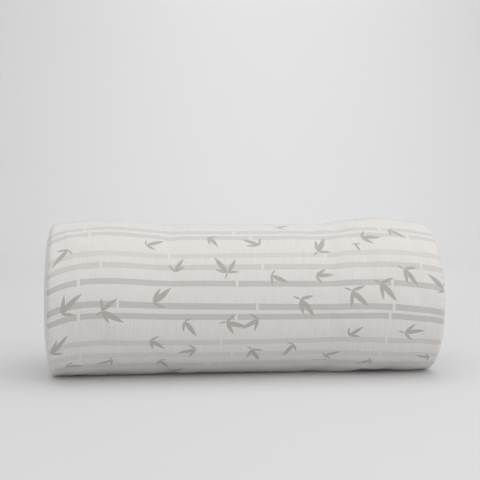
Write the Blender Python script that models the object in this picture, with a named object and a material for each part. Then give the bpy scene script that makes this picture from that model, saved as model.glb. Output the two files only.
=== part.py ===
"""A foam wedge pillow in its printed cover, rolled up tight from its thick end.

One filled solid holds the roll's wound form. A single spiral lap, thin at its
outer edge and thick at the core, is lofted along the roll through rounded ends,
two full shoulders and a narrower waist, and lies on a flat strip underneath.

Run it with: blender --background --python part.py
Units are metres. +X runs along the roll, +Z is up and the floor is z = 0.
"""

import math

import bmesh
import bpy
import numpy as np

# The roll as it lies. Each pair is the left end's value, then the right end's.
ROLL_LENGTH = 0.622
SHOULDER_RADIUS = 0.1235
WAIST_RADIUS = 0.1187
WAIST_ENDS = (0.110, 0.100)
SHOULDER_STARTS = (0.225, 0.205)
TAPER_STARTS = (0.250, 0.212)
TAPERS = (0.0065, 0.0085)
TWIST_STARTS = (0.150, 0.130)
TWIST_ANGLES = (math.radians(9.5), math.radians(3.5))
TWIST_POWERS = (4.5, 2.0)

# The wound lap, counted in turns inwards from its thin outer edge
EDGE_THICKNESS = 0.008
EDGE_ANGLE = math.radians(-32)
STEP_DOWN_TURNS = 0.14
LAP_GAP = 0.0018
LINE_TURNS = 1.56
LINE_POWER = 1.12
CORE_HOLE_RADIUS = 0.0025
CORE_BLEND = 0.006
CORE_TIP_THICKNESS = 0.015
TURNS = 2.5
NOSE_SHARES = (0.45, 0.80)

# The ends
RIM_ROUND = 0.010
RIM_SHARE_OF_LAP = 0.42
BULGE_SHARE_OF_LAP = 0.75
CORE_RIM_SHARE = 0.5
DOMES = (0.003, 0.004)
LAP_CROWN = 0.003
CROWN_LAP_THICKNESS = 0.050

# The flat strip that it rests on
SHOULDER_SINK = 0.0030
WAIST_SINK = 0.0016

# How finely the solid is faceted
STEPS_PER_TURN = 44
BODY_STATIONS = (
    -1.0, -0.93, -0.86, -0.77, -0.67, -0.57, -0.46, -0.36, 0.0,
    0.34, 0.45, 0.56, 0.66, 0.76, 0.85, 0.93, 1.0,
)
RIM_ANGLES = (30, 60, 90)

COVER_COLOUR = (0.80, 0.79, 0.77, 1.0)
COVER_ROUGHNESS = 0.9


def ease(share):
    """0 to 1 with level ends, as 3 s^2 - 2 s^3."""
    share = np.clip(share, 0.0, 1.0)
    return share * share * (3.0 - 2.0 * share)


def lap_line(turns):
    """The radius of the lap's inner side: it winds in from the roll's edge to a small core hole."""
    start = SHOULDER_RADIUS - EDGE_THICKNESS
    wound = start * (1.0 - (turns / LINE_TURNS) ** LINE_POWER) - CORE_HOLE_RADIUS
    return CORE_HOLE_RADIUS + (wound + np.hypot(wound, CORE_BLEND)) / 2


def spiral():
    """Angles from the outer edge, and the lap's outer and inner radius at each.

    The first turn's outside is the roll itself, which steps in where the thin
    edge will lie on it. Each later turn lies a gap inside the turn before it,
    and the lap ends where it would become too thin to fill the core.
    """
    turns = np.arange(int(round(TURNS * STEPS_PER_TURN)) + 1) / STEPS_PER_TURN
    inner = lap_line(turns)
    step = SHOULDER_RADIUS - inner[0] + LAP_GAP
    first_turn = SHOULDER_RADIUS - step * ease((turns - 1.0 + STEP_DOWN_TURNS) / STEP_DOWN_TURNS)
    outer = np.where(turns <= 1.0, first_turn, lap_line(np.maximum(turns - 1.0, 0.0)) - LAP_GAP)
    kept = (turns < 1.0) | (outer - inner > CORE_TIP_THICKNESS)
    return with_noses(2 * math.pi * turns[kept], outer[kept], inner[kept])


def with_noses(angles, outer, inner):
    """The same lap with a half-round nose at its thin edge and at its core tip."""
    noses = []
    for end, direction in ((0, -1), (-1, 1)):
        middle = (outer[end] + inner[end]) / 2
        half = (outer[end] - inner[end]) / 2
        shares = np.array(NOSE_SHARES)
        halves = half * np.sqrt(1.0 - shares**2)
        nose = (angles[end] + direction * half * shares / middle, middle + halves, middle - halves)
        noses.append([values[::direction] for values in nose])
    return [np.concatenate(parts) for parts in zip(noses[0], (angles, outer, inner), noses[1])]


def by_side(x, pair):
    """The left end's value where x is left of the middle, and the right end's elsewhere."""
    return np.where(x < 0, pair[0], pair[1])


def radius_share(x):
    """The roll's radius at x as a share of its shoulder radius, and how much of the waist x is in."""
    from_middle = np.abs(x)
    waist_end = by_side(x, WAIST_ENDS)
    waist = 1.0 - ease((from_middle - waist_end) / (by_side(x, SHOULDER_STARTS) - waist_end))
    taper_start = by_side(x, TAPER_STARTS)
    along_taper = np.clip((from_middle - taper_start) / (ROLL_LENGTH / 2 - taper_start), 0.0, 1.0)
    taper = by_side(x, TAPERS) * (1.0 - np.sqrt(1.0 - along_taper**2))
    radius = SHOULDER_RADIUS - (SHOULDER_RADIUS - WAIST_RADIUS) * waist - taper
    return radius / SHOULDER_RADIUS, waist


def twist(x):
    """How far the lap has slipped round the roll towards its ends."""
    start = by_side(x, TWIST_STARTS)
    share = np.clip((np.abs(x) - start) / (ROLL_LENGTH / 2 - start), 0.0, 1.0)
    return by_side(x, TWIST_ANGLES) * share ** by_side(x, TWIST_POWERS)


def placed(x, angle, radius):
    """Points of the lap in the part's frame, pressed flat where they would pass the floor."""
    share, waist = radius_share(x)
    sink = SHOULDER_SINK + (WAIST_SINK - SHOULDER_SINK) * waist
    axis_height = SHOULDER_RADIUS * share - sink
    turned = EDGE_ANGLE + angle + twist(x)
    y = radius * share * np.cos(turned)
    z = axis_height + radius * share * np.sin(turned)
    return np.stack([x, y, np.maximum(z, 0.0)], axis=-1)


def end_of_roll(side, radius):
    """The x of the lap's end at this radius: the core stands proud of the outer turn."""
    dome = DOMES[1] if side > 0 else DOMES[0]
    return side * (ROLL_LENGTH / 2 - LAP_CROWN - dome * (radius / SHOULDER_RADIUS) ** 2)


def stations():
    """(side, place along the body, rim angle) of each section, from the left end to the right."""
    body = [(-1 if b < 0 else 1, abs(b), 0.0) for b in BODY_STATIONS]
    left = [(-1, 1.0, math.radians(a)) for a in reversed(RIM_ANGLES)]
    right = [(1, 1.0, math.radians(a)) for a in RIM_ANGLES]
    return left + body + right


def bulge(outer, inner):
    """How far the lap's end stands out of the groove beside it."""
    return np.minimum(RIM_ROUND, BULGE_SHARE_OF_LAP * (outer - inner))


def section(side, along, rim_angle, angles, outer, inner):
    """The lap's outline at one station: outer points, inner points and the two tips."""
    middle = (outer + inner) / 2
    inset = np.minimum(RIM_ROUND, RIM_SHARE_OF_LAP * (outer - inner)) * (1.0 - math.cos(rim_angle))
    core_inset = np.minimum(inset, CORE_RIM_SHARE * inner)
    groove = end_of_roll(side, middle) - side * RIM_ROUND
    x = groove * along + side * bulge(outer, inner) * math.sin(rim_angle)
    tips = []
    for end, direction in ((0, -1), (-1, 1)):
        half = (outer[end] - inner[end]) / 2
        tips.append(placed(x[end], angles[end] + direction * half / middle[end], middle[end]))
    return placed(x, angles, outer - inset), placed(x, angles, inner + core_inset), tips


def cap_ridge(side, angles, outer, inner):
    """The crowned middle line of the lap's end."""
    middle = (outer + inner) / 2
    crown = LAP_CROWN * np.minimum(1.0, (outer - inner) / CROWN_LAP_THICKNESS)
    top = end_of_roll(side, middle) - side * (RIM_ROUND - bulge(outer, inner) - crown)
    return placed(top, angles, middle)


def loft(angles, outer, inner):
    """The closed lap as a bmesh: rings along the roll, joined by quads, and a crowned strip at each end."""
    bm = bmesh.new()

    def ring_of(side, along, rim_angle):
        outside, inside, tips = section(side, along, rim_angle, angles, outer, inner)
        points = [tips[0], *outside, tips[1], *inside[::-1]]
        return [bm.verts.new(p) for p in points]

    rings = [ring_of(*station) for station in stations()]
    around = len(rings[0])
    for ring, following in zip(rings, rings[1:]):
        for i in range(around):
            j = (i + 1) % around
            bm.faces.new((ring[i], ring[j], following[j], following[i]))
    count = len(angles)
    for side, ring in ((-1, rings[0]), (1, rings[-1])):
        ridge = [bm.verts.new(p) for p in cap_ridge(side, angles, outer, inner)]
        outside = ring[1 : count + 1]
        inside = ring[count + 2 :][::-1]
        for edge in (outside, inside):
            for i in range(count - 1):
                bm.faces.new((edge[i], edge[i + 1], ridge[i + 1], ridge[i]))
            bm.faces.new((ring[0], edge[0], ridge[0]))
            bm.faces.new((ring[count + 1], edge[-1], ridge[-1]))
    bmesh.ops.recalc_face_normals(bm, faces=bm.faces)
    return bm


def centre_along(bm):
    """Moves the solid along x until it reaches equally far both ways."""
    reach = [vertex.co.x for vertex in bm.verts]
    bmesh.ops.translate(bm, verts=bm.verts, vec=(-(min(reach) + max(reach)) / 2, 0.0, 0.0))


def cover_material():
    """Off-white knitted cover, matt."""
    material = bpy.data.materials.new("printed_cover")
    material.use_nodes = True
    shader = material.node_tree.nodes["Principled BSDF"]
    shader.inputs["Base Color"].default_value = COVER_COLOUR
    shader.inputs["Roughness"].default_value = COVER_ROUGHNESS
    shader.inputs["Metallic"].default_value = 0.0
    return material


def make_roll(collection):
    """The rolled pillow, one solid."""
    bm = loft(*spiral())
    centre_along(bm)
    mesh = bpy.data.meshes.new("rolled_wedge_pillow")
    bm.to_mesh(mesh)
    bm.free()
    mesh.shade_smooth()
    mesh.set_sharp_from_angle(angle=math.radians(50))
    mesh.materials.append(cover_material())
    roll = bpy.data.objects.new("rolled_wedge_pillow", mesh)
    collection.objects.link(roll)
    return roll


def main():
    for old in list(bpy.data.objects):
        bpy.data.objects.remove(old, do_unlink=True)
    collection = bpy.data.collections.new("wedge_pillow")
    bpy.context.scene.collection.children.link(collection)
    make_roll(collection)


main()
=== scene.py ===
"""How the rolled wedge pillow looks: its cover, seams and bamboo print, on a pale studio floor.

The cover is one closed padded surface. Its rows run across the roll from the left end to the
right, and each row is a ring that follows the lap's outer side, its thin edge, its inner side and
its core tip. All lengths are in metres; +X runs along the roll and +Z is up.
"""

import math

import bpy
import numpy as np
from mathutils import Euler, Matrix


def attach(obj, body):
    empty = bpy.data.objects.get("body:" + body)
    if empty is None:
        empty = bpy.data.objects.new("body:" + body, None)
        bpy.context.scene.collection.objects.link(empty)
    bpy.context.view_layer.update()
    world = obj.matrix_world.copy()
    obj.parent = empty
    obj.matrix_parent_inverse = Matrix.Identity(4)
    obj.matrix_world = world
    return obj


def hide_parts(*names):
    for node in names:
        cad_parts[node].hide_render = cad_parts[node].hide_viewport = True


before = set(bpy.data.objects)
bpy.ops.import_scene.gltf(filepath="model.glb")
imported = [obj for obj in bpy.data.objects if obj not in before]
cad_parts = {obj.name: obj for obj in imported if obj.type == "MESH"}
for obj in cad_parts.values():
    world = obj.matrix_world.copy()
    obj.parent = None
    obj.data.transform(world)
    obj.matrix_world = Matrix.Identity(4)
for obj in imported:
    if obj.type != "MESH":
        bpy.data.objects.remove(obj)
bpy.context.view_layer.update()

# The roll's form
ROLL_LENGTH = 0.622
SHOULDER_RADIUS = 0.1235
WAIST_RADIUS = 0.1187
# Each pair is the left end's value, then the right end's.
WAIST_ENDS = (0.110, 0.100)
SHOULDER_STARTS = (0.225, 0.205)
TAPER_STARTS = (0.250, 0.212)
TAPERS = (0.0065, 0.0085)
TWIST_STARTS = (0.150, 0.130)
TWIST_ANGLES = (math.radians(9.5), math.radians(3.5))
TWIST_POWERS = (4.5, 2.0)
DOMES = (0.003, 0.004)

EDGE_THICKNESS = 0.008
EDGE_ANGLE = math.radians(-32)
STEP_DOWN_TURNS = 0.14
LAP_GAP = 0.0018
LINE_TURNS = 1.56
LINE_POWER = 1.12
CORE_HOLE_RADIUS = 0.0025
CORE_BLEND = 0.006
CORE_TIP_THICKNESS = 0.015
TURNS = 2.5

RIM_ROUND = 0.010
RIM_SHARE_OF_LAP = 0.42
BULGE_SHARE_OF_LAP = 0.75
CORE_RIM_SHARE = 0.5
LAP_CROWN = 0.003
CROWN_LAP_THICKNESS = 0.050

SHOULDER_SINK = 0.0030
WAIST_SINK = 0.0016

# How finely the cover is drawn
FIRST_TURN_STEPS = 240
SECOND_TURN_STEPS = 120
CORE_STEPS_PER_TURN = 60
NOSE_STEPS = 5
BODY_SPACING = 0.009
END_SPACING = 0.0035
END_STRETCH = 0.022
RIM_ROWS = 12
CAP_ROWS = 6

# Seams, puckers and dents
SEAM_AT_RIM = math.radians(52)
SEAM_WIDTH = 0.0016
SEAM_DEPTH = 0.0013
FULL_SEAM_THICKNESS = 0.012
SEAM_RUN_OVER_CAP = 0.02
CLOTH_RUN_OVER_CAP = 0.03
PUCKER_LENGTH = 0.013
PUCKER_DEPTH = 0.0007
INNER_PUCKER_SHARE = 0.35
PUCKER_REACH = 0.012
EDGE_SEAM_DEPTH = 0.0008
EDGE_SEAM_WIDTH = 0.0012
EDGE_SEAM_ANGLE = 0.1
DENT_DEPTH = 0.0006
DENT_SHARE_IN_MIDDLE = 0.45
DENTS_GROW_FROM = 0.12
DENTS_GROW_OVER = 0.15

# Dent waves: radians per metre along the roll and round it, start (radians) and size
DENT_WAVES = (
    (21.0, 17.0, 0.4, 1.0), (-34.0, 26.0, 1.9, 0.7), (12.0, 58.0, 3.3, 0.55),
    (61.0, 31.0, 5.1, 0.35), (-48.0, 73.0, 0.9, 0.3),
)
# What makes the puckers uneven: radians per metre of seam, start (radians) and size
PUCKER_WAVES = ((31.0, 0.7, 0.45), (83.0, 0.0, 0.25))
PUCKER_WANDER = 1.8
PUCKER_WANDER_RATE = 17.0

# How the cover's outer turn is settled as cloth
SKIN_ROWS = 66
SKIN_AROUND = 88
SKIN_REACH = 0.300
CLOTH_PRESSURE = 4.0
CLOTH_SLACK = 0.016
CLOTH_FRAMES = 20
LEAST_SETTLED = 0.0003
MOST_MOVEMENT = 0.0022
FREE_FROM_BORDER = 0.030

# Cloth and print colours
CLOTH_LIGHT = (0.800, 0.775, 0.752, 1.0)
CLOTH_DARK = (0.735, 0.709, 0.685, 1.0)
STALK_GREY = (0.575, 0.556, 0.534, 1.0)
LEAF_GREY = (0.465, 0.447, 0.425, 1.0)

# The knit: how fine its layers are, what each adds to the height, and its finish
SLUB_SCALES = (620.0, 26.0)
FINE_SCALE = 900.0
RIB_SPACING = 0.0024
COURSE_SPACING = 0.0016
COURSE_WAVER = 1.2
RIB_HEIGHT = 0.40
COURSE_HEIGHT = 0.22
SLUB_HEIGHT = 0.55
FINE_HEIGHT = 0.20
SLUB_RANGE = (0.30, 0.72)
KNIT_RELIEF = 0.0007
KNIT_ROUGHNESS = 0.90
COVER_FINISH = {"Sheen_Weight": 0.18, "Sheen_Roughness": 0.55, "Specular_IOR_Level": 0.28}

# On the printed and on the plain cloth: scale of its patches, shares of slub and patches, bump
PRINTED_PATCHES = 14.0
PRINTED_MOTTLE = (0.8, 0.2)
PRINTED_BUMP = 0.55
PLAIN_PATCHES = 18.0
PLAIN_MOTTLE = (0.6, 0.3)
PLAIN_BUMP = 0.5

# The print
CLOTH_RADIUS = 0.1212
FRONT_AT = math.radians(212)
REPEAT_DEGREES = 141.0
REPEAT_SHIFT = 0.170
REPEAT_WIDTH = 0.700
LEAVES_PER_SPRAY = 5
LEAF_HALF_WIDTH = 0.126
LEAF_SWELL = 0.74
LEAF_BEND = 0.12
JOINT_HALF_GAP = 0.0017
JOINT_SWELLING = 0.14
JOINT_SWELL_LENGTH = 0.012
LEAF_EDGE = 0.030
BEND_PER_SPRAY = 1.7
BEND_PER_LEAF = 2.3
PRINT_EDGE = 0.0008
PRINT_RELIEF = 0.16
PRINT_GLOSS = 0.06
LEAST_INK = 0.90
INK_SPREAD = 0.14
REPEATS = range(-3, 5)

# Stalks: a height is in degrees above the roll's front.
# height at the left mark, at the right mark, width (mm), one joint's place along the roll (mm),
# space between joints (mm), ink 0 to 1
HEIGHT_MARK = 0.180
STALKS = (
    (66.7, 65.0, 10.5, -249, 231, 0.55),
    (58.9, 57.6, 10.5, -241, 248, 0.60),
    (40.0, 40.2, 9.5, -120, 240, 0.42),
    (30.6, 30.0, 10.0, 267, 245, 0.60),
    (18.6, 16.6, 9.8, -256, 238, 0.95),
    (2.6, -0.7, 10.2, -198, 210, 1.00),
    (-5.4, -7.5, 9.8, -256, 236, 1.00),
    (-26.5, -26.8, 10.5, 213, 255, 0.55),
    (-38.5, -39.9, 11.5, -255, 231, 0.38),
    (-51.0, -51.5, 12.0, 180, 240, 0.42),
)

# Kinds of leaf spray: each leaf's turn from the longest one, in degrees, and its share of the length
SPRAYS = {
    "fork": ((0, 1.00), (-50, 0.56), (76, 0.38)),
    "fan": ((0, 1.00), (33, 0.70), (-62, 0.56)),
    "star": ((0, 1.00), (-38, 0.72), (62, 0.60), (205, 0.36)),
    "burst": ((0, 1.00), (-35, 0.60), (75, 0.80), (120, 0.55), (245, 0.36)),
}

# Sprays: place along the roll (mm), height (degrees), kind, 1 or -1 for its mirror image,
# the longest leaf's direction (degrees, 0 along +X) and its length (mm)
SPRAY_CHART = (
    (-272, 46, "fork", 1, 222, 34), (-281, 0, "fan", 1, 44, 40), (-221, -2, "burst", 1, -30, 38),
    (-299, -29, "fan", 1, 38, 38), (-279, -47, "fork", -1, -10, 30), (-207, -44, "fork", -1, 205, 28),
    (-155, 49, "fork", 1, 20, 32), (-145, 4, "fan", 1, 38, 38), (-112, 27, "fan", -1, 64, 28),
    (-98, -9, "fork", 1, -52, 33), (-35, -10, "star", 1, -20, 35), (-150, -24, "fan", -1, -40, 30),
    (-80, -33, "fan", 1, 200, 31), (-135, -46, "fork", 1, -60, 29), (110, 43, "star", -1, 62, 36),
    (103, 23, "fan", 1, 5, 30), (78, 6, "star", 1, -46, 37), (70, -30, "fork", -1, -122, 32),
    (157, 11, "star", 1, -48, 38), (202, 16, "star", 1, -44, 38), (240, 27, "star", 1, -47, 35),
    (302, 15, "fork", 1, 134, 35), (180, 54, "fan", -1, 2, 34), (227, 64, "fork", 1, -36, 31),
    (168, 49, "fork", -1, -66, 20), (154, -23, "fan", -1, 30, 28), (241, -20, "star", -1, 11, 33),
    (288, -44, "fork", 1, 172, 25), (20, 50, "fan", 1, 150, 32), (34, 24, "fork", 1, -30, 31),
    (-32, 26, "burst", -1, 130, 35), (14, -8, "fan", 1, 215, 32), (6, -34, "star", 1, -70, 33),
    (120, -44, "fork", 1, 20, 29), (196, -48, "fork", -1, 210, 26), (-58, 60, "fan", -1, -60, 29),
    (52, 74, "fork", 1, 30, 28),
)


def ease(share):
    """0 to 1 with level ends, as 3 s^2 - 2 s^3."""
    share = np.clip(share, 0.0, 1.0)
    return share * share * (3.0 - 2.0 * share)


def hump(distance, width):
    """1 at no distance, falling as a bell that is 1/e high at the given width."""
    return np.exp(-((distance / width) ** 2))


# The ring round the lap
def lap_line(turns):
    """The radius of the lap's inner side: it winds in from the roll's edge to a small core hole."""
    start = SHOULDER_RADIUS - EDGE_THICKNESS
    wound = start * (1.0 - (turns / LINE_TURNS) ** LINE_POWER) - CORE_HOLE_RADIUS
    return CORE_HOLE_RADIUS + (wound + np.hypot(wound, CORE_BLEND)) / 2


def lap():
    """Angle from the thin edge, and the lap's outer and inner radius, from the edge to the core.

    The first turn's outside is the roll itself, which steps in where the thin edge lies on it.
    Each later turn lies a gap inside the turn before it.
    """
    turns = np.concatenate([
        np.arange(FIRST_TURN_STEPS) / FIRST_TURN_STEPS,
        1.0 + np.arange(SECOND_TURN_STEPS) / SECOND_TURN_STEPS,
        np.arange(2.0, TURNS, 1.0 / CORE_STEPS_PER_TURN),
    ])
    inner = lap_line(turns)
    step = SHOULDER_RADIUS - inner[0] + LAP_GAP
    first_turn = SHOULDER_RADIUS - step * ease((turns - 1.0 + STEP_DOWN_TURNS) / STEP_DOWN_TURNS)
    outer = np.where(turns <= 1.0, first_turn, lap_line(np.maximum(turns - 1.0, 0.0)) - LAP_GAP)
    kept = (turns < 1.0) | (outer - inner > CORE_TIP_THICKNESS)
    return 2 * math.pi * turns[kept], outer[kept], inner[kept]


def nose(angle, outer, inner, direction):
    """The half-round nose at one end of the lap, from its base to just short of its tip."""
    middle, half = (outer + inner) / 2, (outer - inner) / 2
    lean = np.arange(1, NOSE_STEPS) / NOSE_STEPS * math.pi / 2
    angles = angle + direction * half * np.sin(lean) / middle
    return angles, middle + half * np.cos(lean), middle - half * np.cos(lean)


def ring():
    """The closed ring as arrays: angle, radius, middle radius, thickness and side (+1 out, -1 in).

    It starts at the thin edge's tip, follows the outer side to the core tip, and comes back
    along the inner side. The tips have side 0.
    """
    angle, outer, inner = lap()
    edge = [values[::-1] for values in nose(angle[0], outer[0], inner[0], -1)]
    core = nose(angle[-1], outer[-1], inner[-1], 1)
    angle, outer, inner = (np.concatenate(parts) for parts in zip(edge, (angle, outer, inner), core))
    middle, thick = (outer + inner) / 2, outer - inner
    tips = []
    for end, neighbour in ((0, NOSE_STEPS - 1), (-1, -NOSE_STEPS)):
        direction = -1 if end == 0 else 1
        reach = direction * thick[neighbour] / 2 / middle[neighbour]
        tips.append((angle[neighbour] + reach, middle[neighbour]))
    (edge_angle, edge_radius), (core_angle, core_radius) = tips

    def round_ring(edge_tip, outside, core_tip, inside):
        return np.concatenate([[edge_tip], outside, [core_tip], inside[::-1]])

    ones = np.ones(len(angle))
    return {
        "angle": round_ring(edge_angle, angle, core_angle, angle),
        "radius": round_ring(edge_radius, outer, core_radius, inner),
        "middle": round_ring(edge_radius, middle, core_radius, middle),
        "thick": round_ring(0.0, thick, 0.0, thick),
        "side": round_ring(0.0, ones, 0.0, -ones),
    }


# The rows along the roll
def rows():
    """The rows as arrays: end (-1 or 1), place along the body, rim angle and share of the cap.

    Body rows come closer together near the ends, rim rows turn the edge through a right
    angle, and cap rows run from the rim to the ridge in the middle of the lap's end.
    """
    half = ROLL_LENGTH / 2
    body = np.arange(0.0, half - END_STRETCH, BODY_SPACING)
    near_end = np.linspace(half - END_STRETCH, half, int(END_STRETCH / END_SPACING) + 1)
    along = np.concatenate([body, near_end]) / half
    rim = np.arange(1, RIM_ROWS + 1) / RIM_ROWS * math.pi / 2
    cap = ease(np.arange(1, CAP_ROWS + 1) / CAP_ROWS * 0.5) * 2
    right = np.concatenate([
        np.stack([np.ones_like(along), along, 0 * along, 0 * along], axis=1),
        np.stack([np.ones_like(rim), np.ones_like(rim), rim, 0 * rim], axis=1),
        np.stack([np.ones_like(cap), np.ones_like(cap), 0 * cap + math.pi / 2, cap], axis=1),
    ])
    left = right[:0:-1] * np.array([-1, 1, 1, 1])
    return np.concatenate([left, right]).T[:, :, None]


def by_side(x, pair):
    """The left end's value where x is left of the middle, and the right end's elsewhere."""
    return np.where(x < 0, pair[0], pair[1])


def radius_share(x):
    """The roll's radius at x as a share of its shoulder radius, and how much of the waist x is in."""
    from_middle = np.abs(x)
    waist_end = by_side(x, WAIST_ENDS)
    waist = 1.0 - ease((from_middle - waist_end) / (by_side(x, SHOULDER_STARTS) - waist_end))
    taper_start = by_side(x, TAPER_STARTS)
    along_taper = np.clip((from_middle - taper_start) / (ROLL_LENGTH / 2 - taper_start), 0.0, 1.0)
    taper = by_side(x, TAPERS) * (1.0 - np.sqrt(1.0 - along_taper**2))
    radius = SHOULDER_RADIUS - (SHOULDER_RADIUS - WAIST_RADIUS) * waist - taper
    return radius / SHOULDER_RADIUS, waist


def twist(x):
    """How far the lap has slipped round the roll towards its ends."""
    start = by_side(x, TWIST_STARTS)
    share = np.clip((np.abs(x) - start) / (ROLL_LENGTH / 2 - start), 0.0, 1.0)
    return by_side(x, TWIST_ANGLES) * share ** by_side(x, TWIST_POWERS)


def placed(x, angle, radius):
    """Points of the lap in the part's frame, pressed flat where they would pass the floor."""
    share, waist = radius_share(x)
    sink = SHOULDER_SINK + (WAIST_SINK - SHOULDER_SINK) * waist
    axis_height = SHOULDER_RADIUS * share - sink
    turned = EDGE_ANGLE + angle + twist(x)
    y = radius * share * np.cos(turned)
    z = axis_height + radius * share * np.sin(turned)
    return np.stack([x, y, np.maximum(z, 0.0)], axis=-1)


def dents(x, arc):
    """Shallow uneven dents in the foam: a sum of long slanted waves, stronger towards the ends."""
    total = 0.0
    for along, around, start, size in DENT_WAVES:
        total = total + size * np.sin(along * x + around * arc + start)
    towards_end = ease((np.abs(x) - DENTS_GROW_FROM) / DENTS_GROW_OVER)
    return DENT_DEPTH * total * (DENT_SHARE_IN_MIDDLE + (1.0 - DENT_SHARE_IN_MIDDLE) * towards_end)


def puckers(arc, from_seam):
    """Small gathers that the seam thread pulls in: an uneven wave, fading away from the seam."""
    uneven = 1.0
    for rate, start, size in PUCKER_WAVES:
        uneven = uneven + size * np.sin(rate * arc + start)
    wander = PUCKER_WANDER * np.sin(PUCKER_WANDER_RATE * arc)
    wave = np.sin(2 * math.pi * arc / PUCKER_LENGTH + wander)
    return PUCKER_DEPTH * uneven * wave * hump(from_seam, PUCKER_REACH)


def cover_grid(settled):
    """Every point of the cover as rows by ring, its place on the cloth, and how far it is turned over.

    A point of the body lies on the lap's side. Rim rows turn it over the edge by a quarter
    circle, and cap rows carry it on to the crowned middle of the lap's end. The radius then
    gains the puckers and loses the seam's bell-shaped groove. On the outer turn it also gains the
    dents and the settled wrinkles, which fade towards the borders. How far a point is turned
    over is its rim angle plus its share of the cap.
    """
    lap_ring = ring()
    end, along, rim, cap = rows()
    angle, radius, middle = lap_ring["angle"], lap_ring["radius"], lap_ring["middle"]
    thick, side = lap_ring["thick"], lap_ring["side"]

    dome = by_side(end, DOMES)
    end_x = ROLL_LENGTH / 2 - LAP_CROWN - dome * (middle / SHOULDER_RADIUS) ** 2
    bulge = np.minimum(RIM_ROUND, BULGE_SHARE_OF_LAP * thick)
    crown = LAP_CROWN * np.minimum(1.0, thick / CROWN_LAP_THICKNESS)
    groove = end_x - RIM_ROUND
    from_middle = groove * along + bulge * np.sin(rim) + crown * (1.0 - (1.0 - cap) ** 2)

    inset = np.minimum(RIM_ROUND, RIM_SHARE_OF_LAP * thick) * (1.0 - np.cos(rim))
    inset = np.where(side < 0, np.minimum(inset, CORE_RIM_SHARE * radius), inset)
    rounded = radius - side * inset
    rounded = rounded + (middle - rounded) * cap

    arc = CLOTH_RADIUS * angle
    rim_arc = RIM_ROUND * rim
    from_seam = np.abs(rim_arc - RIM_ROUND * SEAM_AT_RIM) + (1.0 - along) * groove
    from_seam = from_seam + SEAM_RUN_OVER_CAP * cap
    full = np.minimum(1.0, thick / FULL_SEAM_THICKNESS)
    seam = SEAM_DEPTH * hump(from_seam, SEAM_WIDTH) * full
    outer_turn = (side > 0) & (angle < 2 * math.pi)
    loose = puckers(arc, from_seam) * full * np.where(outer_turn, 1.0, INNER_PUCKER_SHARE)
    outside = side * np.cos(rim) * (1.0 - cap)
    last = (1.0 - STEP_DOWN_TURNS) * 2 * math.pi * CLOTH_RADIUS
    from_border = np.minimum(np.minimum(arc, last - arc), (1.0 - along) * groove) * outer_turn
    row_place = (end * from_middle / SKIN_REACH + 1.0) / 2 * (SKIN_ROWS - 1)
    wrinkles = between_points(settled, row_place, angle / (2 * math.pi) * SKIN_AROUND)
    wrinkles = wrinkles * ease(from_border / FREE_FROM_BORDER)
    shift = wrinkles + dents(end * from_middle, arc) * outer_turn - seam + loose
    rounded = rounded + outside * shift
    edge_seam = EDGE_SEAM_DEPTH * hump((angle - angle[0]) * SHOULDER_RADIUS, EDGE_SEAM_WIDTH)
    turned = angle + edge_seam / SHOULDER_RADIUS * (angle < EDGE_SEAM_ANGLE)
    from_middle = from_middle + np.sin(rim) * (loose - seam) * np.cos(cap * math.pi / 2)

    points = placed(end * from_middle, turned + 0 * from_middle, rounded)
    cloth_along = end * (groove * along + rim_arc + CLOTH_RUN_OVER_CAP * cap)
    cloth = np.stack([cloth_along, arc + 0 * from_middle], axis=-1)
    return points, cloth, rim + cap + 0 * from_middle


def grid_faces(row_count, around):
    """Quads between neighbouring rows, closed round the ring and facing outwards."""
    row = np.arange(row_count - 1)[:, None] * around
    here = np.arange(around)[None, :]
    after = (here + 1) % around
    corners = [row + here, row + after, row + around + after, row + around + here]
    return np.stack(corners, axis=-1).reshape(-1, 4)


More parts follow.
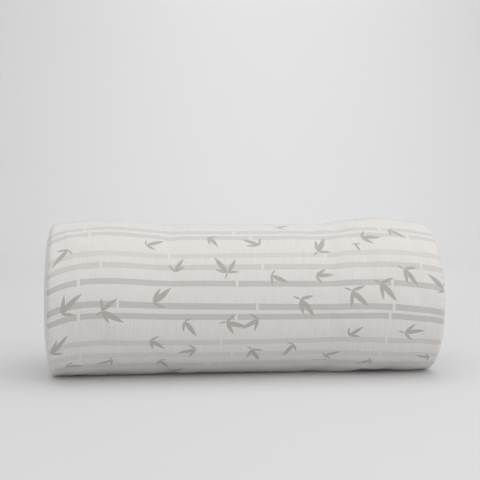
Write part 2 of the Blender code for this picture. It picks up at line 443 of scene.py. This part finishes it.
def settled_skin():
    """How far each point of the outer turn moves out when its cover settles as slack cloth.

    A coarse closed skin has the roll's outer shape, and is held along both ends and along the
    lap's thin edge. It has a little more cloth than its form needs, so under a small pressure it
    falls into soft wrinkles. The result is its movement away from the axis, less the mean.
    """
    x = np.linspace(-SKIN_REACH, SKIN_REACH, SKIN_ROWS)[:, None] + np.zeros(SKIN_AROUND)
    angle = 2 * math.pi * np.arange(SKIN_AROUND) / SKIN_AROUND
    radius = SHOULDER_RADIUS * radius_share(x)[0]
    points = np.stack([x, radius * np.cos(angle), radius * np.sin(angle)], axis=-1).reshape(-1, 3)
    index = np.arange(SKIN_ROWS * SKIN_AROUND).reshape(SKIN_ROWS, SKIN_AROUND)
    ends = [index[0, ::-1].tolist(), index[-1].tolist()]
    mesh = bpy.data.meshes.new("skin")
    mesh.from_pydata(points.tolist(), [], grid_faces(SKIN_ROWS, SKIN_AROUND).tolist() + ends)
    skin = bpy.data.objects.new("skin", mesh)
    bpy.context.collection.objects.link(skin)
    held = skin.vertex_groups.new(name="held")
    held.add(np.unique(np.concatenate([index[0], index[-1], index[:, 0]])).tolist(), 1.0, "REPLACE")
    cloth = skin.modifiers.new("cloth", "CLOTH").settings
    cloth.vertex_group_mass = held.name
    cloth.use_pressure = True
    cloth.uniform_pressure_force = CLOTH_PRESSURE
    cloth.shrink_min = -CLOTH_SLACK
    cloth.effector_weights.gravity = 0.0
    for frame_number in range(1, CLOTH_FRAMES + 1):
        bpy.context.scene.frame_set(frame_number)
    settled = np.empty(points.size, dtype=np.float32)
    shape = skin.evaluated_get(bpy.context.evaluated_depsgraph_get()).data
    shape.vertices.foreach_get("co", settled)
    settled = settled.reshape(SKIN_ROWS, SKIN_AROUND, 3)
    bpy.data.objects.remove(skin, do_unlink=True)
    bpy.data.meshes.remove(mesh)
    bpy.context.scene.frame_set(1)
    outwards = np.hypot(settled[..., 1], settled[..., 2]) - radius
    if outwards.std() < LEAST_SETTLED:
        raise RuntimeError("the cover's skin did not settle")
    return np.clip(outwards - outwards.mean(), -MOST_MOVEMENT, MOST_MOVEMENT)


def spline_weights(share):
    """The four weights of a cubic B-spline at a share of the way from one point to the next."""
    rest = 1.0 - share
    near = 4.0 - 6.0 * share**2 + 3.0 * share**3
    far = 4.0 - 6.0 * rest**2 + 3.0 * rest**3
    return rest**3 / 6, near / 6, far / 6, share**3 / 6


def between_points(field, row_place, column_place):
    """A field of rows round the roll read between its points, blended over the nearest 4 by 4."""
    row, column = np.floor(row_place).astype(int), np.floor(column_place).astype(int)
    total = 0.0
    for i, row_weight in enumerate(spline_weights(row_place - row)):
        near_row = np.clip(row + i - 1, 0, field.shape[0] - 1)
        for k, column_weight in enumerate(spline_weights(column_place - column)):
            near_column = (column + k - 1) % field.shape[1]
            total = total + row_weight * column_weight * field[near_row, near_column]
    return total


def mesh_from_arrays(name, points, faces):
    """A mesh from an array of points and an array of quads."""
    mesh = bpy.data.meshes.new(name)
    mesh.vertices.add(len(points))
    mesh.vertices.foreach_set("co", points.astype(np.float32).ravel())
    mesh.loops.add(faces.size)
    mesh.loops.foreach_set("vertex_index", faces.astype(np.int32).ravel())
    mesh.polygons.add(len(faces))
    mesh.polygons.foreach_set("loop_start", np.arange(0, faces.size, 4, dtype=np.int32))
    mesh.polygons.foreach_set("use_smooth", np.ones(len(faces), dtype=bool))
    mesh.update(calc_edges=True)
    return mesh


def close_ridges(faces, row_count, around):
    """Joins each end row's outer and inner points, which meet on the ridge, by using one of the two."""
    index = np.arange(row_count * around)
    for first in (0, (row_count - 1) * around):
        half = around // 2
        pairs = first + np.arange(1, half)
        index[first + around - np.arange(1, half)] = pairs
    return index[faces]


# The print's chart on the faces
def stalk_rows():
    """Each stalk on the whole cloth: arc place, half width, joint place, joint space, ink and lean."""
    table = []
    for repeat in REPEATS:
        for left, right, width, joint, space, ink in STALKS:
            height = (left + right) / 2 + repeat * REPEAT_DEGREES
            arc = CLOTH_RADIUS * (FRONT_AT - math.radians(height))
            lean = CLOTH_RADIUS * math.radians(left - right) / (2 * HEIGHT_MARK)
            table.append((arc, width / 2000, joint / 1000 + repeat * REPEAT_SHIFT, space / 1000, ink, lean))
    return np.array(table)


def spray_rows():
    """Each spray on the whole cloth: its place, and each leaf's unit of length and bend."""
    places, leaves = [], []
    for repeat in REPEATS:
        for i, (along, height, kind, mirror, turn, size) in enumerate(SPRAY_CHART):
            x = along / 1000 + repeat * REPEAT_SHIFT
            x = (x + REPEAT_WIDTH / 2) % REPEAT_WIDTH - REPEAT_WIDTH / 2
            arc = CLOTH_RADIUS * (FRONT_AT - math.radians(height + repeat * REPEAT_DEGREES))
            row = np.zeros((LEAVES_PER_SPRAY, 3))
            for k, (direction, share) in enumerate(SPRAYS[kind]):
                heading = math.radians(turn + mirror * direction)
                length = share * size / 1000
                bend = LEAF_BEND * math.sin(BEND_PER_SPRAY * i + BEND_PER_LEAF * k)
                row[k] = (math.cos(heading) / length, -math.sin(heading) / length, bend)
            places.append((x, arc))
            leaves.append(row)
    return np.array(places), np.array(leaves)


def two_layers(places):
    """Puts each spray in one of two layers, so that close neighbours are in different ones."""
    layers = ([], [])
    for i, place in enumerate(places):
        room = [min((math.dist(place, places[k]) for k in layer), default=1.0) for layer in layers]
        layers[0 if room[0] >= room[1] else 1].append(i)
    return layers


def nearest(centres, places):
    """The index of the nearest place to each centre."""
    gaps = np.stack([np.hypot(centres[:, 0] - x, centres[:, 1] - y) for x, y in places])
    return gaps.argmin(axis=0)


def face_vectors(mesh, name, values):
    """Stores one vector for each face."""
    layer = mesh.attributes.new(name, "FLOAT_VECTOR", "FACE")
    layer.data.foreach_set("vector", values.astype(np.float32).ravel())


def chart_faces(mesh, centres):
    """Gives each face the stalk and the sprays that are nearest to it on the cloth."""
    stalks = stalk_rows()
    middles = stalks[:, 0] + stalks[:, 5] * centres[:, :1]
    own = stalks[np.abs(centres[:, 1:] - middles).argmin(axis=1)]
    face_vectors(mesh, "stalk", own[:, :3])
    face_vectors(mesh, "stalk_joints", own[:, 3:])
    places, leaves = spray_rows()
    for name, layer in zip(("spray_a", "spray_b"), two_layers(places)):
        chosen = np.array(layer)[nearest(centres, places[layer])]
        face_vectors(mesh, name, np.pad(places[chosen], ((0, 0), (0, 1))))
        for k in range(LEAVES_PER_SPRAY):
            face_vectors(mesh, f"{name}_leaf_{k + 1}", leaves[chosen, k])


# Shader maths
class Socket:
    """A node socket that adds Math nodes when it is used in an expression."""

    def __init__(self, nodes, source):
        self.nodes = nodes
        self.source = source

    def math(self, operation, *others):
        return self.nodes.add("ShaderNodeMath", {"operation": operation}, [self, *others])

    def __add__(self, other):
        return self.math("ADD", other)

    __radd__ = __add__

    def __sub__(self, other):
        return self.math("SUBTRACT", other)

    def __rsub__(self, other):
        return self.nodes.add("ShaderNodeMath", {"operation": "SUBTRACT"}, [other, self])

    def __mul__(self, other):
        return self.math("MULTIPLY", other)

    __rmul__ = __mul__

    def __truediv__(self, other):
        return self.math("DIVIDE", other)

    def __abs__(self):
        return self.math("ABSOLUTE")

    def __pow__(self, power):
        return self.math("POWER", power)

    def larger(self, other):
        return self.math("MAXIMUM", other)

    def sine(self):
        return self.math("SINE")

    def step(self, low, high):
        """0 below low and 1 above high, with a smooth rise between."""
        settings = {"interpolation_type": "SMOOTHSTEP"}
        return self.nodes.add("ShaderNodeMapRange", settings, [self, low, high, 0.0, 1.0])


class Nodes:
    """One material's nodes."""

    def __init__(self, name):
        self.material = bpy.data.materials.new(name)
        self.material.use_nodes = True
        self.tree = self.material.node_tree
        self.shader = self.tree.nodes["Principled BSDF"]

    def connect(self, value, target):
        if isinstance(value, Socket):
            self.tree.links.new(value.source, target)
        else:
            target.default_value = value

    def add(self, kind, settings=None, inputs=(), output=0):
        """A node of a kind, with its settings made first and then its inputs, by order or by name."""
        node = self.tree.nodes.new(kind)
        for name, value in (settings or {}).items():
            setattr(node, name, value)
        pairs = inputs.items() if isinstance(inputs, dict) else enumerate(inputs)
        for key, value in pairs:
            self.connect(value, node.inputs[key])
        return Socket(self, node.outputs[output])

    def mix(self, share, first, second):
        """A colour between two."""
        node = {"data_type": "RGBA"}
        return self.add("ShaderNodeMix", node, {0: share, 6: first, 7: second}, output=2)

    def noise(self, vector, scale, detail=2.0, roughness=0.5):
        inputs = {"Vector": vector, "Scale": scale, "Detail": detail, "Roughness": roughness}
        return self.add("ShaderNodeTexNoise", {"noise_dimensions": "3D"}, inputs)

    def parts(self, vector):
        """The three numbers of a vector."""
        node = self.tree.nodes.new("ShaderNodeSeparateXYZ")
        self.tree.links.new(vector.source, node.inputs[0])
        return [Socket(self, output) for output in node.outputs]

    def attribute(self, name):
        """A face's own vector."""
        return self.add("ShaderNodeAttribute", {"attribute_name": name}, output="Vector")

    def finish(self, **inputs):
        for name, value in inputs.items():
            self.connect(value, self.shader.inputs[name.replace("_", " ")])
        return self.material


def leaf_ink(nodes, x, y, leaf):
    """How much one leaf covers a point of the cloth at (x, y) from the leaf's root.

    Along the leaf t runs from 0 to 1. Its half width follows 4 a (1 - a) with a = t^LEAF_SWELL, so
    it is widest before its middle and pointed at both ends, and it bends sideways as t^2.
    """
    forward, sideways, bend = nodes.parts(leaf)
    t = (x * forward + y * sideways).larger(0.0)
    across = abs(x * sideways - y * forward + t * t * bend)
    swell = t**LEAF_SWELL
    return ((swell - swell * swell) * (4 * LEAF_HALF_WIDTH) - across).step(0.0, LEAF_EDGE)


def spray_ink(nodes, x, y, name):
    """How much the nearest spray's leaves cover a point of the cloth."""
    root_x, root_y, _ = nodes.parts(nodes.attribute(name))
    x, y = x - root_x, y - root_y
    ink = None
    for k in range(LEAVES_PER_SPRAY):
        leaf = leaf_ink(nodes, x, y, nodes.attribute(f"{name}_leaf_{k + 1}"))
        ink = leaf if ink is None else ink.larger(leaf)
    return ink


def stalk_ink(nodes, x, y):
    """How much the nearest stalk covers a point: a band with a narrow gap and a swelling at each joint."""
    middle, half, joint = nodes.parts(nodes.attribute("stalk"))
    space, strength, lean = nodes.parts(nodes.attribute("stalk_joints"))
    from_joint = (x - joint) / space + 0.5
    from_joint = abs(from_joint.math("FRACT") - 0.5) * space
    swelling = 1.0 + JOINT_SWELLING * (1.0 - from_joint.step(0.0, JOINT_SWELL_LENGTH))
    band = (half * swelling - abs(y - middle - lean * x)).step(0.0, PRINT_EDGE)
    return band * from_joint.step(JOINT_HALF_GAP, JOINT_HALF_GAP + PRINT_EDGE) * strength


def knit(nodes, x, y):
    """The knit's height, its uneven yarn and its place, all on the cloth's own coordinates.

    The height adds up ribs, which are sines along x, courses, which are sines along y that waver
    with the ribs, long slubs and a fine grain.
    """
    cloth = nodes.add("ShaderNodeCombineXYZ", inputs=[x, y, 0.0])
    stretched = nodes.add("ShaderNodeCombineXYZ", inputs=[x * SLUB_SCALES[0], y * SLUB_SCALES[1], 0.0])
    slub = nodes.noise(stretched, 1.0, 3.0, 0.6)
    fine = nodes.noise(cloth, FINE_SCALE, 2.0)
    rib_wave = (x * (2 * math.pi / RIB_SPACING)).sine()
    course_wave = (y * (2 * math.pi / COURSE_SPACING) + rib_wave * COURSE_WAVER).sine()
    rib, course = rib_wave * 0.5 + 0.5, course_wave * 0.5 + 0.5
    height = rib * RIB_HEIGHT + course * COURSE_HEIGHT + slub * SLUB_HEIGHT + fine * FINE_HEIGHT
    return height, slub, cloth


def bare_cloth(nodes, slub, cloth, patches, mottle):
    """The cloth's colour before printing, darker and lighter by its slubs and by wider patches."""
    slub_share, patch_share = mottle
    patchy = nodes.noise(cloth, patches, 3.0)
    return nodes.mix(slub.step(*SLUB_RANGE) * slub_share + patchy * patch_share, CLOTH_DARK, CLOTH_LIGHT)


def printed_cloth():
    """Off-white ribbed knit with light grey bamboo stalks and leaf sprays."""
    nodes = Nodes("printed_knit")
    place = nodes.add("ShaderNodeUVMap", {"uv_map": "cloth"})
    x, y, _ = nodes.parts(place)
    height, slub, cloth = knit(nodes, x, y)
    leaves = spray_ink(nodes, x, y, "spray_a").larger(spray_ink(nodes, x, y, "spray_b"))
    stalks = stalk_ink(nodes, x, y)
    worn = LEAST_INK + INK_SPREAD * slub
    base = bare_cloth(nodes, slub, cloth, PRINTED_PATCHES, PRINTED_MOTTLE)
    stalked = nodes.mix(stalks * worn, base, STALK_GREY)
    coloured = nodes.mix(leaves * worn, stalked, LEAF_GREY)
    printed = leaves.larger(stalks)
    normal = nodes.add("ShaderNodeBump", inputs={
        "Strength": PRINTED_BUMP, "Distance": KNIT_RELIEF, "Height": height - printed * PRINT_RELIEF,
    })
    roughness = KNIT_ROUGHNESS - PRINT_GLOSS * printed
    return nodes.finish(Base_Color=coloured, Roughness=roughness, Normal=normal, **COVER_FINISH)


def side_cloth():
    """The plain strip that closes the wedge's sides: the same knit with nothing printed on it."""
    nodes = Nodes("plain_knit")
    place = nodes.add("ShaderNodeTexCoord", output="Object")
    _, across, up = nodes.parts(place)
    height, slub, cloth = knit(nodes, across, up)
    base = bare_cloth(nodes, slub, cloth, PLAIN_PATCHES, PLAIN_MOTTLE)
    normal = nodes.add("ShaderNodeBump", inputs={
        "Strength": PLAIN_BUMP, "Distance": KNIT_RELIEF, "Height": height,
    })
    return nodes.finish(Base_Color=base, Roughness=KNIT_ROUGHNESS, Normal=normal, **COVER_FINISH)


# The cover
def rolled_cover():
    """The padded cover: the grid of points closed at both ends, with its print charted."""
    points, cloth, turned = cover_grid(settled_skin())
    row_count, around = turned.shape
    faces = grid_faces(row_count, around)
    corner_cloth = cloth.reshape(-1, 2)[faces]
    on_side = turned.reshape(-1)[faces].min(axis=1) >= SEAM_AT_RIM
    used, joined = np.unique(close_ridges(faces, row_count, around), return_inverse=True)
    mesh = mesh_from_arrays("rolled_cover", points.reshape(-1, 3)[used], joined.reshape(-1, 4))
    layer = mesh.uv_layers.new(name="cloth")
    layer.data.foreach_set("uv", corner_cloth.astype(np.float32).ravel())
    chart_faces(mesh, corner_cloth.mean(axis=1))
    mesh.materials.append(printed_cloth())
    mesh.materials.append(side_cloth())
    mesh.polygons.foreach_set("material_index", on_side.astype(np.int32))
    cover = bpy.data.objects.new("rolled_cover", mesh)
    bpy.context.collection.objects.link(cover)
    return cover


# The studio
CAMERA_AT = (-0.162, -1.743, 0.340)
CAMERA_HEADING = math.radians(5.2)
CAMERA_DOWN = math.radians(4.2)
CAMERA_LENS = 81.5
FLOOR_FRONT = -4.0
FLOOR_BACK = 1.6
STUDIO_HALF_WIDTH = 4.0
WALL_CURVE = 0.9
WALL_HEIGHT = 3.2
WALL_CURVE_POINTS = 25
PAPER_DARK = (0.735, 0.733, 0.738, 1.0)
PAPER_LIGHT = (0.765, 0.763, 0.768, 1.0)
PAPER_CLOUDS = 0.8
PAPER_ROUGHNESS = 0.85
ROOM_STRENGTH = 0.55
# Softboxes: name, place, the point that it faces, width and power (watts)
SOFTBOXES = (
    ("overhead", (0.1, -0.3, 1.9), (0.0, 0.0, 0.1), 2.2, 16.0),
    ("right_fill", (2.0, -1.6, 1.3), (0.0, 0.0, 0.1), 1.6, 13.0),
    ("low_front", (-0.3, -1.9, 0.12), (0.0, 0.0, 0.08), 1.2, 2.5),
    ("backdrop", (0.35, 1.3, 1.7), (0.35, 2.4, 0.75), 0.9, 8.5),
)


def camera():
    """The camera at the photo's place: a little to the left, above the roll and looking down at it."""
    data = bpy.data.cameras.new("camera")
    data.lens = CAMERA_LENS
    data.sensor_width = 36.0
    seen_by = bpy.data.objects.new("camera", data)
    seen_by.location = CAMERA_AT
    seen_by.rotation_euler = Euler((math.pi / 2 - CAMERA_DOWN, 0.0, -CAMERA_HEADING))
    bpy.context.collection.objects.link(seen_by)
    bpy.context.scene.camera = seen_by


def studio_sweep():
    """Floor and wall as one sheet: level, then a quarter circle, then upright."""
    bend = np.linspace(0.0, math.pi / 2, WALL_CURVE_POINTS)
    curve = FLOOR_BACK + WALL_CURVE * np.sin(bend)
    y = np.concatenate([[FLOOR_FRONT, 0.0], curve, [FLOOR_BACK + WALL_CURVE]])
    z = np.concatenate([[0.0, 0.0], WALL_CURVE * (1.0 - np.cos(bend)), [WALL_HEIGHT]])
    x = np.array([-STUDIO_HALF_WIDTH, STUDIO_HALF_WIDTH])
    points = np.stack([x[None, :] + 0 * y[:, None], y[:, None] + 0 * x, z[:, None] + 0 * x], axis=-1)
    row = np.arange(len(y) - 1)[:, None] * 2
    faces = (row + np.array([[0, 1, 3, 2]])).reshape(-1, 4)
    mesh = mesh_from_arrays("studio_sweep", points.reshape(-1, 3), faces)
    nodes = Nodes("studio_paper")
    place = nodes.add("ShaderNodeTexCoord", output="Object")
    paper = nodes.mix(nodes.noise(place, PAPER_CLOUDS, 2.0), PAPER_DARK, PAPER_LIGHT)
    mesh.materials.append(nodes.finish(Base_Color=paper, Roughness=PAPER_ROUGHNESS))
    sweep = bpy.data.objects.new("studio_sweep", mesh)
    bpy.context.collection.objects.link(sweep)


def softbox(name, location, look_at, size, power):
    """A square area light that faces a point."""
    data = bpy.data.lights.new(name, "AREA")
    data.size = size
    data.energy = power
    lamp = bpy.data.objects.new(name, data)
    lamp.visible_camera = False
    lamp.location = location
    away = np.array(location) - np.array(look_at)
    pitch = math.atan2(math.hypot(away[0], away[1]), away[2])
    lamp.rotation_euler = Euler((pitch, 0.0, math.atan2(away[0], -away[1])))
    bpy.context.collection.objects.link(lamp)


def lights():
    """Even white light from the room, and softboxes overhead, at the right, low in front and on the wall."""
    world = bpy.data.worlds.new("room")
    world.use_nodes = True
    background = world.node_tree.nodes["Background"]
    background.inputs["Color"].default_value = (1.0, 1.0, 1.0, 1.0)
    background.inputs["Strength"].default_value = ROOM_STRENGTH
    bpy.context.scene.world = world
    bpy.context.scene.view_settings.view_transform = "Standard"
    for box in SOFTBOXES:
        softbox(*box)


camera()
studio_sweep()
lights()
cover = rolled_cover()
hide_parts("rolled_wedge_pillow")
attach(cover, "root")
